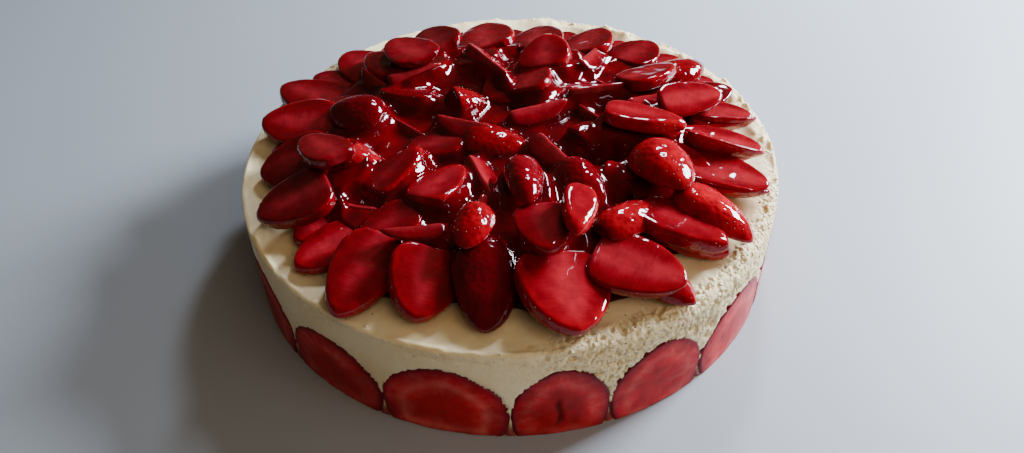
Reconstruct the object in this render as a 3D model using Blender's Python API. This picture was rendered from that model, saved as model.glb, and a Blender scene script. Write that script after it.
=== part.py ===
"""A fraisier: a round, uncut strawberry cream cake, 22 cm across.

The cream stands on z = 0 with halved strawberries set into its side, their cut
faces flush with it. A heap of cut strawberries lies on top, on a bed of jelly
that holds the smallest pieces. Lengths are millimetres until a mesh is made.
"""

import math
import random

import bmesh
import bpy
from mathutils import Matrix, Vector
from mathutils.bvhtree import BVHTree

MM = 0.001
GAP = 0.3
SMOOTH_UNDER = 40.0

# Cream
CAKE_RADIUS = 110.0
CREAM_HEIGHT = 44.0
CREAM_STEPS = 96
FLAT_RADIUS = 77.0
CREAM_RINGS = (77.0, 84.0, 90.0, 96.0, 101.0, 105.5, 108.6)
EDGE_ROUNDING = 1.2
# Smeared waves: height, turns round the cake, turn for each mm outwards, phase
WAVES = ((1.76, 7, 0.09, 0.0), (1.06, 11, -0.15, 1.0))
# Torn lip along the rim, highest towards one azimuth, and its notches: share, turns, phase
LIP_HEIGHT = 2.4
LIP_RADIUS = 105.0
LIP_WIDTH = 5.0
LIP_TOWARDS = 45.0
NOTCHES = ((0.35, 19, 0.0), (0.25, 31, 2.0))

# Berries in the side: (azimuth where each begins, in degrees, and its height)
SIDE_BERRIES = (
    (-164, 33.0), (-140, 31.0), (-116, 35.0), (-91, 35.0), (-72, 34.0), (-51, 31.0),
    (-27, 33.0), (-4.7, 34.5), (17.6, 31.5), (39.9, 34.0), (62.2, 32.5), (84.5, 35.0),
    (106.8, 32.0), (129.1, 34.0), (151.4, 31.0), (173.7, 33.5),
)
SIDE_DEPTH = 14.0
SIDE_WIDEST_AT = 0.40
SIDE_FOOT = 0.80
SIDE_FOOT_CURVE = 2.2
SIDE_TIP_CURVE = 0.60
SIDE_LEVELS = (0.0, 0.16, 0.40, 0.62, 0.80, 0.93)
SIDE_FRONT_STRIPS = 4
SIDE_BACK_STRIPS = 7
RECESS_OUTSIDE = 2.0
TIP_CLEARANCE = 0.5

# Berries on top
SHOULDER = 0.30
HULL_SQUEEZE = 0.30
BLUNTNESS = 0.62
DEPTH_SHARE = 0.84
STATIONS = (0.0, 0.13, 0.30, 0.50, 0.68, 0.83, 0.94)
BERRY_SIDES = 12
# Lumps round a berry: share of its radius, lumps round it, twist from hull to tip
LUMPS = ((0.045, 2, 0.0), (0.032, 3, 4.0))

# Tilts tried, in degrees, to find how a piece settles on what carries it
PITCHES = (-12, -6, 0, 6, 12)
ROLLS = (-24, -18, -12, -6, 0, 6, 12, 18, 24)
TILT_COST = 0.06
LIFT_STEP = 0.15
DROP_FROM = 100.0

# Jelly bed: a mound, and the waves of its edge as share of its radius, turns, phase
BED_RADIUS = 70.0
BED_HEIGHT = 5.0
BED_EDGE = 1.0
BED_STEPS = 28
BED_RINGS = (0.35, 0.62, 0.84, 0.97)
BED_WAVES = ((0.05, 3, 0.6), (0.04, 5, 0.0))
SUNK_DEPTH = 1.5
SUNK_SEED = 100

# Cut berries: name, cut, thickness kept, length, width, x, y, yaw of the tip, pitch (tip
# down), roll, in millimetres and degrees, in the order in which they are laid
SUNK = (
    ("band", "wedge", 0, 27, 20, -34, 25, 178, 4, 205),
    ("bar", "wedge", 0, 28, 20, 29, 35, 8, 4, 205),
    ("stub", "tip", 15, 28, 18, -18, 22, 20, 8, 0),
    ("ridge", "wedge", 0, 28, 21, -46, 11, -40, 4, 180),
    ("heart", "half", 0, 30, 22, -5, -3, -8, 4, 0),
    ("shelf", "slab", 6, 25, 22, -30, -3, 200, 4, 6),
    ("rail", "wedge", 0, 32, 18, -56, -39, -12, 2, 200),
    ("under", "slab", 6, 28, 21, -28, -49, 188, 2, 0),
    ("lens", "slab", 6, 25, 18, -28, 48, 30, 0, 16),
    ("chip", "slab", 6, 22, 16, -1, 34, -15, 0, 14),
    ("nub", "tip", 15, 28, 18, 31, -7, 40, -14, 0),
    ("bud", "tip", 15, 30, 18, 42, -30, -20, -6, 0),
    ("knob", "tip", 15, 30, 19, -58, -13, -18, 4, 0),
    ("lobe", "slab", 7, 24, 21, 25, 48, 60, -14, 0),
    ("block", "wedge", 0, 22, 17, 45, 38, -40, 0, 200),
    ("fin", "wedge", 0, 28, 18, 35, 13, -52, 0, 180),
    ("stop", "tip", 14, 26, 16, 66, -4, 10, -8, 0),
)
RING = (
    ("ring_01", "slab", 5, 28, 22, -66, -58, -140, 3, 0),
    ("ring_02", "slab", 6, 37, 25, -51, -75, -114, 4, 0),
    ("ring_03", "slab", 6, 29, 27, -30, -83, -99, 5, -4),
    ("ring_04", "cheek", 10, 38, 25, -9, -83, -93, 8, 0),
    ("ring_05", "slab", 6, 34, 34, 17, -88, -80, 4, -3),
    ("ring_06", "cheek", 10, 37, 22, 47, -76, -42, 2, 0),
    ("ring_07", "slab", 7, 36, 21, 62, -55, -36, 4, -6),
    ("ring_09", "half", 0, 35, 19, 83, -28, -24, 2, 150),
    ("ring_08", "cheek", 11, 34, 23, 73, -50, -45, 5, 0),
    ("ring_10", "half", 0, 34, 19, 86, -11, -10, 2, 150),
    ("ring_11", "half", 0, 26, 18, 92, 12, -3, 2, 150),
    ("ring_12", "slab", 5, 26, 20, 86, 30, 20, 2, 0),
    ("ring_13", "cheek", 9, 29, 22, 77, 50, 36, 2, 0),
    ("ring_14", "slab", 5, 26, 24, 59, 65, 50, 2, 0),
    ("ring_15", "slab", 5, 31, 27, 37, 74, 66, -6, 0),
    ("ring_16", "slab", 5, 31, 28, 14, 80, 82, 0, 0),
    ("ring_17", "slab", 5, 35, 28, -10, 80, 97, 0, 0),
    ("ring_18", "slab", 5, 31, 26, -34, 77, 113, 0, 0),
    ("ring_20", "slab", 5, 32, 26, -64, 61, 134, 0, 0),
    ("ring_21", "slab", 5, 34, 27, -86, 38, 152, 0, 0),
    ("ring_23", "slab", 6, 34, 28, -88, 13, 171, 2, 0),
    ("ring_22", "slab", 5, 31, 28, -85, -13, 185, 2, 0),
    ("ring_24", "slab", 6, 31, 28, -80, -38, -158, 3, 0),
    ("ring_19", "cheek", 8, 31, 26, -43, 54, 125, -4, 180),
)
HEAP = (
    ("heap_01", "slab", 5, 27, 21, -71, -20, 130, 4, 4),
    ("heap_02", "cheek", 9, 25, 20, -63, 11, 165, 4, 0),
    ("heap_03", "wedge", 0, 28, 22, -55, 38, 132, -4, 165),
    ("heap_04", "wedge", 0, 34, 18, -10, 49, -58, 4, 190),
    ("heap_05", "slab", 5, 24, 24, 17, 54, 84, -8, 0),
    ("heap_06", "slab", 6, 29, 22, 60, 34, 30, 2, -30),
    ("heap_07", "half", 0, 28, 20, 76, 13, 12, 2, 205),
    ("heap_08", "slab", 6, 34, 17, 54, -3, -14, 4, -8),
    ("heap_12", "cheek", 8, 28, 17, 41, -59, 38, 2, 6),
    ("heap_09", "cheek", 10, 32, 24, 57, -34, -72, 2, 0),
    ("heap_10", "half", 0, 30, 18, 26, -37, -68, 2, 0),
    ("heap_11", "slab", 5, 26, 22, 11, -69, -85, 4, 0),
    ("heap_13", "slab", 6, 25, 13, 24, -66, -98, 6, -16),
    ("heap_14", "half", 0, 30, 16, 5, -45, -85, 4, 0),
    ("heap_15", "half", 0, 24, 17, -13, -66, -102, 6, 0),
    ("heap_16", "wedge", 0, 24, 16, -35, -66, 184, 2, 205),
    ("heap_17", "slab", 6, 32, 20, -28, -34, 62, -2, -4),
    ("heap_18", "slab", 6, 30, 17, -46, -25, 50, -4, -10),
)


def material(name, colour, roughness):
    """A plain finish: the part's own colour, roughness and no metal."""
    made = bpy.data.materials.new(name)
    made.use_nodes = True
    shader = made.node_tree.nodes["Principled BSDF"]
    shader.inputs["Base Color"].default_value = (*colour, 1.0)
    shader.inputs["Roughness"].default_value = roughness
    shader.inputs["Metallic"].default_value = 0.0
    return made


def box_of(shape):
    """Lowest and highest corner of a shape."""
    low = Vector([min(vertex.co[k] for vertex in shape.verts) for k in range(3)])
    high = Vector([max(vertex.co[k] for vertex in shape.verts) for k in range(3)])
    return low, high


def add_object(name, shape, finish, parent):
    """An object from a shape in millimetres, with its origin in the middle of its box."""
    low, high = box_of(shape)
    middle = (low + high) / 2
    bmesh.ops.recalc_face_normals(shape, faces=shape.faces)
    bmesh.ops.translate(shape, vec=-middle, verts=shape.verts)
    bmesh.ops.scale(shape, vec=(MM, MM, MM), verts=shape.verts)
    mesh = bpy.data.meshes.new(name)
    shape.to_mesh(mesh)
    shape.free()
    mesh.materials.append(finish)
    mesh.shade_smooth()
    mesh.set_sharp_from_angle(angle=math.radians(SMOOTH_UNDER))
    made = bpy.data.objects.new(name, mesh)
    bpy.context.scene.collection.objects.link(made)
    made.location = middle * MM
    made.parent = parent
    return made


def add_helper(name, shape, finish, parent):
    """An object that only cuts or joins, and isn't a part of the cake itself."""
    made = add_object(name, shape, finish, parent)
    made.hide_render = True
    made.display_type = "WIRE"
    return made


def combine(target, other, operation):
    boolean = target.modifiers.new(other.name, "BOOLEAN")
    boolean.operation = operation
    boolean.object = other


def skin_rings(shape, rings, ends):
    """Joins rings of points by faces; each end is a point, or True to close its ring."""
    layers = [[shape.verts.new(point) for point in ring] for ring in rings]
    count = len(layers[0])
    for lower, upper in zip(layers, layers[1:]):
        for i in range(count):
            j = (i + 1) % count
            shape.faces.new((lower[i], lower[j], upper[j], upper[i]))
    for layer, end in zip((layers[0], layers[-1]), ends):
        if end is True:
            shape.faces.new(layer)
            continue
        point = shape.verts.new(end)
        for i in range(count):
            shape.faces.new((layer[i], layer[(i + 1) % count], point))


def polar(radius, angle, z):
    return Vector((radius * math.cos(angle), radius * math.sin(angle), z))


def cream_top(radius, angle):
    """Height of the cream: flat under the fruit, smeared in waves near its rim."""
    share = min(1.0, max(0.0, (radius - FLAT_RADIUS) / (CAKE_RADIUS - FLAT_RADIUS)))
    waves = sum(h * math.sin(turns * angle + twist * radius + phase) for h, turns, twist, phase in WAVES)
    torn = 0.5 + 0.5 * math.cos(angle - math.radians(LIP_TOWARDS))
    ragged = 1 + sum(part * math.sin(turns * angle + phase) for part, turns, phase in NOTCHES)
    lip = math.exp(-(((radius - LIP_RADIUS) / LIP_WIDTH) ** 2)) * torn**2 * ragged
    return CREAM_HEIGHT + share * (1 - share) * waves + LIP_HEIGHT * lip


def cream_shape():
    """The cream as a turned solid with a waved top and a softened upper edge."""
    shape = bmesh.new()
    angles = [2 * math.pi * i / CREAM_STEPS for i in range(CREAM_STEPS)]
    edge = CREAM_RINGS[-1]
    rings = [[polar(CAKE_RADIUS, a, 0.0) for a in angles]]
    rings.append([polar(CAKE_RADIUS, a, cream_top(edge, a) - EDGE_ROUNDING) for a in angles])
    for radius in reversed(CREAM_RINGS):
        rings.append([polar(radius, a, cream_top(radius, a)) for a in angles])
    skin_rings(shape, rings, (True, True))
    return shape


def side_half_width(level, slot):
    """Half the width of a berry in the side at a share of its height."""
    if level < SIDE_WIDEST_AT:
        narrowing = ((SIDE_WIDEST_AT - level) / SIDE_WIDEST_AT) ** SIDE_FOOT_CURVE
        return slot * (1 - (1 - SIDE_FOOT) * narrowing)
    climbed = (level - SIDE_WIDEST_AT) / (1 - SIDE_WIDEST_AT)
    return slot * (1 - climbed**2) ** SIDE_TIP_CURVE


def side_berry_shape(start, end, height, grow=0.0, outside=0.0):
    """A berry half whose cut face follows the side; grow and outside make its recess."""
    shape = bmesh.new()
    middle = math.radians((start + end) / 2)
    slot = math.radians(end - start) / 2 * CAKE_RADIUS - GAP
    radius = CAKE_RADIUS + outside
    rings = []
    for level in SIDE_LEVELS:
        half_width = side_half_width(level, slot) + grow
        depth = SIDE_DEPTH * half_width / slot
        z = -RECESS_OUTSIDE if outside and level == 0.0 else level * height
        ring = []
        for i in range(SIDE_FRONT_STRIPS + 1):
            across = half_width * (2 * i / SIDE_FRONT_STRIPS - 1)
            ring.append(polar(radius, middle + across / CAKE_RADIUS, z))
        first = 0 if outside else 1
        for i in range(first, SIDE_BACK_STRIPS + 1 - first):
            turn = math.pi * i / SIDE_BACK_STRIPS
            across = half_width * math.cos(turn) / CAKE_RADIUS
            ring.append(polar(CAKE_RADIUS - depth * math.sin(turn), middle + across, z))
        rings.append(ring)
    tip = polar(radius, middle, height + grow + TIP_CLEARANCE * outside)
    skin_rings(shape, rings, (True, tip))
    return shape


def berry_radius(u):
    """Radius of a berry, as a share of its widest, from the hull end (0) to the tip (1)."""
    if u < SHOULDER:
        return 1 - HULL_SQUEEZE * (1 - u / SHOULDER) ** 2
    return (1 - ((u - SHOULDER) / (1 - SHOULDER)) ** 2) ** BLUNTNESS


def whole_berry(length, width, seed):
    """A hulled berry along X with its tip at +X, slightly lumpy."""
    draw = random.Random(seed)
    phases = [draw.uniform(0, 2 * math.pi) for _ in LUMPS]
    shape = bmesh.new()
    rings = []
    for u in STATIONS:
        ring = []
        for i in range(BERRY_SIDES):
            a = 2 * math.pi * (i + 0.5) / BERRY_SIDES
            lumps = sum(s * math.sin(n * a + t * u + p) for (s, n, t), p in zip(LUMPS, phases))
            radius = width / 2 * berry_radius(u) * (1 + lumps)
            x = (u - 0.5) * length
            ring.append(Vector((x, radius * math.cos(a), DEPTH_SHARE * radius * math.sin(a))))
        rings.append(ring)
    skin_rings(shape, rings, (True, Vector((length / 2, 0, 0))))
    bmesh.ops.recalc_face_normals(shape, faces=shape.faces)
    return shape


def knife_planes(cut, keep, length, width):
    """The knife's planes for each cut, as a point and the normal of the side that goes."""
    depth = DEPTH_SHARE * width / 2
    if cut == "slab":
        return [((0, 0, keep / 2), (0, 0, 1)), ((0, 0, -keep / 2), (0, 0, -1))]
    if cut == "cheek":
        return [((0, 0, depth - keep), (0, 0, -1))]
    if cut == "half":
        return [((0, 0, 0), (0, 0, -1))]
    if cut == "wedge":
        return [((0, 0, 0), (0, 1, -1)), ((0, 0, 0), (0, -1, -1))]
    return [((length / 2 - keep, 0, 0), (-1, 0, 0))]


def cut_berry(cut, keep, length, width, seed):
    """A berry after the knife, each cut closed by a flat face."""
    shape = whole_berry(length, width, seed)
    for point, normal in knife_planes(cut, keep, length, width):
        geometry = shape.verts[:] + shape.edges[:] + shape.faces[:]
        bmesh.ops.bisect_plane(
            shape, geom=geometry, dist=1e-4, plane_co=point, plane_no=normal, clear_outer=True
        )
        rim = [edge for edge in shape.edges if edge.is_boundary]
        bmesh.ops.holes_fill(shape, edges=rim, sides=0)
    return shape


def turn_of(yaw, pitch, roll):
    yaw, pitch, roll = (math.radians(angle) for angle in (yaw, pitch, roll))
    return Matrix.Rotation(yaw, 3, "Z") @ Matrix.Rotation(pitch, 3, "Y") @ Matrix.Rotation(roll, 3, "X")


def placed_piece(row, seed, more_pitch=0, more_roll=0):
    """A cut berry turned as laid, with the middle of its box over its place and its foot at 0."""
    _, cut, keep, length, width, x, y, yaw, pitch, roll = row
    shape = cut_berry(cut, keep, length, width, seed)
    turn = turn_of(yaw, pitch + more_pitch, roll + more_roll)
    bmesh.ops.rotate(shape, matrix=turn, verts=shape.verts)
    low, high = box_of(shape)
    shift = Vector((x - (low.x + high.x) / 2, y - (low.y + high.y) / 2, -low.z))
    bmesh.ops.translate(shape, vec=shift, verts=shape.verts)
    return shape


def tree_and_points(shape):
    """A search tree of a shape's triangles, and its points."""
    own = shape.copy()
    bmesh.ops.triangulate(own, faces=own.faces)
    tree = BVHTree.FromBMesh(own)
    points = [vertex.co.copy() for vertex in own.verts]
    own.free()
    return tree, points


class Laid:
    """What already lies on the cake, to lower the next piece onto."""

    def __init__(self):
        self.parts = []

    def add(self, shape):
        self.parts.append(tree_and_points(shape))

    def free_fall(self, shape):
        """How far a shape above everything can drop before a point of either meets the other."""
        own_tree, own_points = tree_and_points(shape)
        down, up = Vector((0, 0, -1)), Vector((0, 0, 1))
        reach = [max(abs(point[k] - own_points[0][k]) for point in own_points) for k in (0, 1)]
        falls = []
        for tree, points in self.parts:
            falls += [tree.ray_cast(point, down)[3] for point in own_points]
            near = [p for p in points if all(abs(p[k] - own_points[0][k]) <= reach[k] for k in (0, 1))]
            falls += [own_tree.ray_cast(point, up)[3] for point in near]
        return min(fall for fall in falls if fall is not None)

    def clashes(self, shape):
        own_tree, _ = tree_and_points(shape)
        return any(own_tree.overlap(tree) for tree, _ in self.parts)

    def drop(self, shape):
        """Lets a shape down until it rests, a gap above what carries it."""
        bmesh.ops.translate(shape, vec=(0, 0, DROP_FROM), verts=shape.verts)
        fall = self.free_fall(shape) - GAP
        bmesh.ops.translate(shape, vec=(0, 0, -fall), verts=shape.verts)

    def settle(self, row, seed):
        """The piece of a row in the tilt that brings it lowest, laid clear of all others."""
        best, least = None, math.inf
        for more_pitch in PITCHES:
            for more_roll in ROLLS:
                shape = placed_piece(row, seed, more_pitch, more_roll)
                self.drop(shape)
                height = sum(vertex.co.z for vertex in shape.verts) / len(shape.verts)
                cost = height + TILT_COST * (abs(more_pitch) + abs(more_roll))
                if cost < least:
                    best, shape, least = shape, best, cost
                if shape:
                    shape.free()
        while self.clashes(best):
            bmesh.ops.translate(best, vec=(0, 0, LIFT_STEP), verts=best.verts)
        self.add(best)
        return best


def bed_shape():
    """The jelly as a low mound with an uneven edge, a gap above the cream."""
    shape = bmesh.new()
    foot = CREAM_HEIGHT + GAP
    angles = [2 * math.pi * i / BED_STEPS for i in range(BED_STEPS)]
    reach = []
    for a in angles:
        reach.append(BED_RADIUS * (1 + sum(s * math.sin(n * a + phase) for s, n, phase in BED_WAVES)))
    rings = [[polar(r, a, foot) for r, a in zip(reach, angles)]]
    for share in reversed(BED_RINGS):
        z = foot + BED_EDGE + (BED_HEIGHT - BED_EDGE) * (1 - share**2)
        rings.append([polar(r * share, a, z) for r, a in zip(reach, angles)])
    skin_rings(shape, rings, (True, Vector((0, 0, foot + BED_HEIGHT))))
    return shape


def sink_into(shape, mound, depth):
    """Lowers a shape onto the mound alone and then into it, but not through its foot."""
    bed = Laid()
    bed.add(mound)
    bed.drop(shape)
    lowest = box_of(shape)[0].z
    sink = min(depth, lowest - CREAM_HEIGHT - 2 * GAP)
    bmesh.ops.translate(shape, vec=(0, 0, -sink), verts=shape.verts)


def side_places():
    """Name, first and last azimuth and height of each berry in the side."""
    starts = [azimuth for azimuth, _ in SIDE_BERRIES]
    ends = starts[1:] + [starts[0] + 360]
    for i, (_, height) in enumerate(SIDE_BERRIES):
        yield f"side_{i + 1:02}", starts[i], ends[i], height


def make_cream(finish, parent):
    cream = add_object("cream", cream_shape(), finish, parent)
    for name, start, end, height in side_places():
        recess = side_berry_shape(start, end, height, grow=GAP, outside=RECESS_OUTSIDE)
        combine(cream, add_helper("recess_" + name, recess, finish, parent), "DIFFERENCE")


def make_side_berries(finish, parent):
    for name, start, end, height in side_places():
        add_object(name, side_berry_shape(start, end, height), finish, parent)


def make_topping(berry_finish, jelly_finish, parent):
    laid = Laid()
    surface = cream_shape()
    laid.add(surface)
    surface.free()
    mound = bed_shape()
    sunk = []
    for seed, row in enumerate(SUNK, start=SUNK_SEED):
        piece = placed_piece(row, seed)
        sink_into(piece, mound, SUNK_DEPTH)
        laid.add(piece)
        sunk.append(add_helper("sunk_" + row[0], piece, berry_finish, parent))
    laid.add(mound)
    bed = add_object("jelly_bed", mound, jelly_finish, parent)
    for piece in sunk:
        combine(bed, piece, "UNION")
    for seed, row in enumerate(RING + HEAP):
        add_object(row[0], laid.settle(row, seed), berry_finish, parent)


def main():
    for old in list(bpy.data.objects):
        bpy.data.objects.remove(old, do_unlink=True)
    cake = bpy.data.objects.new("fraisier", None)
    bpy.context.scene.collection.objects.link(cake)
    cream = material("cream", (0.86, 0.79, 0.62), 0.65)
    cut_face = material("side_strawberry", (0.42, 0.04, 0.05), 0.45)
    glazed = material("glazed_strawberry", (0.35, 0.006, 0.01), 0.12)
    jelly = material("strawberry_jelly", (0.10, 0.002, 0.004), 0.06)
    make_cream(cream, cake)
    make_side_berries(cut_face, cake)
    make_topping(glazed, jelly, cake)


main()
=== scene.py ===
import math
import random

import bmesh
import bpy
import numpy as np
from mathutils import Matrix, Vector
from mathutils.kdtree import KDTree


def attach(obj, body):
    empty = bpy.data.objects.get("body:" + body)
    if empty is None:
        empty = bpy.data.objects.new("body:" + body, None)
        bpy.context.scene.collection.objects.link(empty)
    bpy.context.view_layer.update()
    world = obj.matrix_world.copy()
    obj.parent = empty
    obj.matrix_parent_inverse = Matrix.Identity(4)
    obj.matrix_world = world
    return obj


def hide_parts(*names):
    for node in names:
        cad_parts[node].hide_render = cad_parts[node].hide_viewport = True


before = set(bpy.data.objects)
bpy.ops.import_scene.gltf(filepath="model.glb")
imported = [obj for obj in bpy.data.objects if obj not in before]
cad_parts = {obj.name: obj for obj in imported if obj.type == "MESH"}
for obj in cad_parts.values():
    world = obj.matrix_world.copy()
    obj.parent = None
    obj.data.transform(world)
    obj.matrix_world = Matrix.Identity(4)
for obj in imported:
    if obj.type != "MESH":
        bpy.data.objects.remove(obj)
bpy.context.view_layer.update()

mm = 0.001


# Noise and mesh helpers

def latticeNoise(points, size, seed):
    # smooth noise from -1 to 1 with bumps about `size` apart
    cell = points / size + 11.7 * seed + 300.0
    base = np.floor(cell).astype(np.int64)
    part = cell - base
    part = part * part * (3 - 2 * part)
    total = np.zeros(len(points))
    for corner in range(8):
        step = np.array([corner & 1, corner >> 1 & 1, corner >> 2 & 1])
        at = base + step
        mixed = at[:, 0] * 73856093 ^ at[:, 1] * 19349663 ^ at[:, 2] * 83492791
        mixed = (mixed ^ (mixed >> 13)) * 1274126177 & 0x7FFFFFFF
        weight = np.prod(np.where(step == 1, part, 1 - part), axis=1)
        total += weight * (mixed / 0x3FFFFFFF - 1)
    return total


def layeredNoise(points, size, seed, layers=3):
    total = np.zeros(len(points))
    for layer in range(layers):
        total += latticeNoise(points, size / 2**layer, seed + layer) / 2**layer
    return total / 1.75


def smoothStep(low, high, value):
    share = np.clip((value - low) / (high - low), 0, 1)
    return share * share * (3 - 2 * share)


def polar(far, angle, z):
    return np.stack([far * np.cos(angle), far * np.sin(angle), z], 1)


def unit(vectors):
    return vectors / np.linalg.norm(vectors, axis=1)[:, None]


def linked(name, data):
    obj = bpy.data.objects.new(name, data)
    bpy.context.scene.collection.objects.link(obj)
    return obj


def meshObject(name, points, faces, material, attributes=None):
    # points in millimetres; attributes: name -> array for each point
    mesh = bpy.data.meshes.new(name)
    mesh.from_pydata((np.asarray(points) * mm).tolist(), [], faces)
    for key, values in (attributes or {}).items():
        values = np.asarray(values, np.float32)
        kind = "FLOAT_VECTOR" if values.ndim == 2 else "FLOAT"
        made = mesh.attributes.new(key, kind, "POINT")
        made.data.foreach_set("vector" if values.ndim == 2 else "value", values.ravel())
    mesh.materials.append(material)
    mesh.shade_smooth()
    mesh.update()
    obj = linked(name, mesh)
    return obj


def ringFaces(rings, count):
    # quads between closed rings of `count` points that follow each other
    faces = []
    for ring in range(rings - 1):
        low, high = ring * count, (ring + 1) * count
        for i in range(count):
            j = (i + 1) % count
            faces.append((low + i, low + j, high + j, high + i))
    return faces


# Materials

def newMaterial(name):
    material = bpy.data.materials.new(name)
    material.use_nodes = True
    tree = material.node_tree
    return material, tree, tree.nodes["Principled BSDF"]


def feed(tree, socket, value):
    # links another node to the socket, or sets its constant
    if isinstance(value, bpy.types.NodeSocket):
        tree.links.new(value, socket)
    elif socket.type == "RGBA":
        socket.default_value = (*value, 1.0)
    else:
        socket.default_value = value


def addNode(tree, kind, settings=None, **inputs):
    node = tree.nodes.new(kind)
    for key, value in (settings or {}).items():
        setattr(node, key, value)
    for key, value in inputs.items():
        feed(tree, node.inputs[key.replace("_", " ")], value)
    return node


def calc(tree, operation, *values):
    node = addNode(tree, "ShaderNodeMath", {"operation": operation})
    for socket, value in zip(node.inputs, values):
        feed(tree, socket, value)
    return node.outputs[0]


def blend(tree, share, first, second, mode="MIX"):
    node = addNode(tree, "ShaderNodeMix", {"data_type": "RGBA", "blend_type": mode})
    for place, value in ((0, share), (6, first), (7, second)):  # factor and the two colours
        feed(tree, node.inputs[place], value)
    return node.outputs[2]


def ramp(tree, value, stops):
    # stops: (place, colour or grey)
    node = tree.nodes.new("ShaderNodeValToRGB")
    tree.links.new(value, node.inputs[0])
    points = node.color_ramp.elements
    while len(points) < len(stops):
        points.new(0.5)
    for point, (place, colour) in zip(points, stops):
        point.position = place
        point.color = (*colour, 1.0) if isinstance(colour, tuple) else (colour, colour, colour, 1.0)
    return node.outputs[0]


def attribute(tree, name, output="Fac"):
    node = tree.nodes.new("ShaderNodeAttribute")
    node.attribute_name = name
    return node.outputs[output]


def scaled(tree, vector, scale):
    return addNode(tree, "ShaderNodeMapping", Vector=vector, Scale=scale).outputs[0]


def noiseTexture(tree, vector, scale, detail=3.0, roughness=0.5):
    return addNode(
        tree, "ShaderNodeTexNoise", Vector=vector, Scale=scale, Detail=detail, Roughness=roughness
    ).outputs["Fac"]


def objectPlace(tree):
    return addNode(tree, "ShaderNodeTexCoord").outputs["Object"]


def addBump(tree, shader, height, strength, distance, socket="Normal"):
    bump = addNode(tree, "ShaderNodeBump", Height=height, Strength=strength, Distance=distance)
    tree.links.new(bump.outputs[0], shader.inputs[socket])


def setShader(tree, shader, colour, **constants):
    # the colour pattern, and constants on the shader's own sockets
    tree.links.new(colour, shader.inputs["Base Color"])
    for key, value in constants.items():
        shader.inputs[key.replace("_", " ")].default_value = value


glazedLook = {
    "core": (0.32, 0.011, 0.020),         # a cut face, from its middle outwards
    "flesh": (0.20, 0.0012, 0.007),
    "outer": (0.12, 0.0005, 0.004),
    "rim": (0.05, 0.0003, 0.003),
    "streak": (0.62, 0.080, 0.085),       # pale fibres
    "skin": (0.42, 0.0020, 0.010),
    "skinDark": (0.22, 0.0006, 0.006),
    "fibres": (16.0, 2.6, 2.6),           # how fine they are along and across the berry
    "blotches": (0.80, 1.15),             # darkest and lightest patch
    # painted shade in the seed pits
    "paintedPitShade": 0.3,
    "roughness": 0.45,
    "scatter": 0.25, "scatterColour": (1.0, 0.16, 0.10), "scatterDepth": 0.0025,
    "coat": 1.0, "coatRoughness": 0.05, "coatIor": 1.45,
    "waves": 75.0, "waveHeight": 0.0024,  # soft waves of the glaze, which break up what it mirrors
}


def glazedMaterial():
    look = glazedLook
    material, tree, shader = newMaterial("glazedStrawberry")
    local = attribute(tree, "local", "Vector")
    rim = attribute(tree, "rim")
    skin = attribute(tree, "skin")
    tone = attribute(tree, "tone")
    pit = attribute(tree, "pit")
    flesh = ramp(tree, rim, (
        (0.0, look["core"]), (0.22, look["core"]), (0.5, look["flesh"]),
        (0.86, look["outer"]), (0.985, look["rim"]),
    ))
    fibre = noiseTexture(tree, scaled(tree, local, look["fibres"]), 3.0, 4.0, 0.62)
    fibre = ramp(tree, fibre, ((0.42, 0.0), (0.72, 1.0)))
    inner = ramp(tree, rim, ((0.0, 0.06), (0.35, 0.07), (0.8, 0.02), (0.95, 0.0)))
    flesh = blend(tree, calc(tree, "MULTIPLY", fibre, inner), flesh, look["streak"])
    blotch = noiseTexture(tree, scaled(tree, local, (3.0, 3.0, 3.0)), 2.2, 3.0)
    darkest, lightest = look["blotches"]
    flesh = blend(tree, 1.0, flesh, ramp(tree, blotch, ((0.35, darkest), (0.68, lightest))), "MULTIPLY")
    peel = blend(tree, ramp(tree, blotch, ((0.3, 0.0), (0.75, 1.0))), look["skinDark"], look["skin"])
    # painted shade: the dark rim colour is mixed into each seed pit, which the mesh already sinks
    peel = blend(tree, calc(tree, "MULTIPLY", pit, look["paintedPitShade"]), peel, look["rim"])
    # the tone attribute holds each piece's own tone times the painted light and shade across the heap
    colour = blend(tree, 1.0, blend(tree, skin, flesh, peel), tone, "MULTIPLY")
    setShader(
        tree, shader, colour, Roughness=look["roughness"], Specular_IOR_Level=0.0,
        Subsurface_Weight=look["scatter"], Subsurface_Radius=look["scatterColour"],
        Subsurface_Scale=look["scatterDepth"], Coat_Weight=look["coat"],
        Coat_Roughness=look["coatRoughness"], Coat_IOR=look["coatIor"],
    )
    grain = noiseTexture(tree, scaled(tree, local, (40.0, 14.0, 14.0)), 2.0, 3.0, 0.6)
    addBump(tree, shader, grain, 0.35, 0.00010)
    swell = noiseTexture(tree, objectPlace(tree), look["waves"], 2.0, 0.45)
    addBump(tree, shader, swell, 0.5, look["waveHeight"], "Coat Normal")
    return material


sideLook = {
    "core": (0.40, 0.007, 0.014),    # from the middle of the slice outwards
    "flesh": (0.54, 0.014, 0.024),
    "band": (0.68, 0.085, 0.080),    # pale ring
    "outer": (0.36, 0.007, 0.020),
    "rim": (0.13, 0.003, 0.012),
    "streak": (0.70, 0.17, 0.15),    # pale rays
    # painted shade inside the slit
    "slit": (0.10, 0.001, 0.004),
    "rays": (19.0, 1.6, 1.0),        # how fine they are around and along
    "blotches": (0.72, 1.18),
    "roughness": 0.45,
    "scatter": 0.15, "scatterColour": (1.0, 0.2, 0.15), "scatterDepth": 0.002,
    "coat": 0.4, "coatRoughness": 0.10,
}


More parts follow.
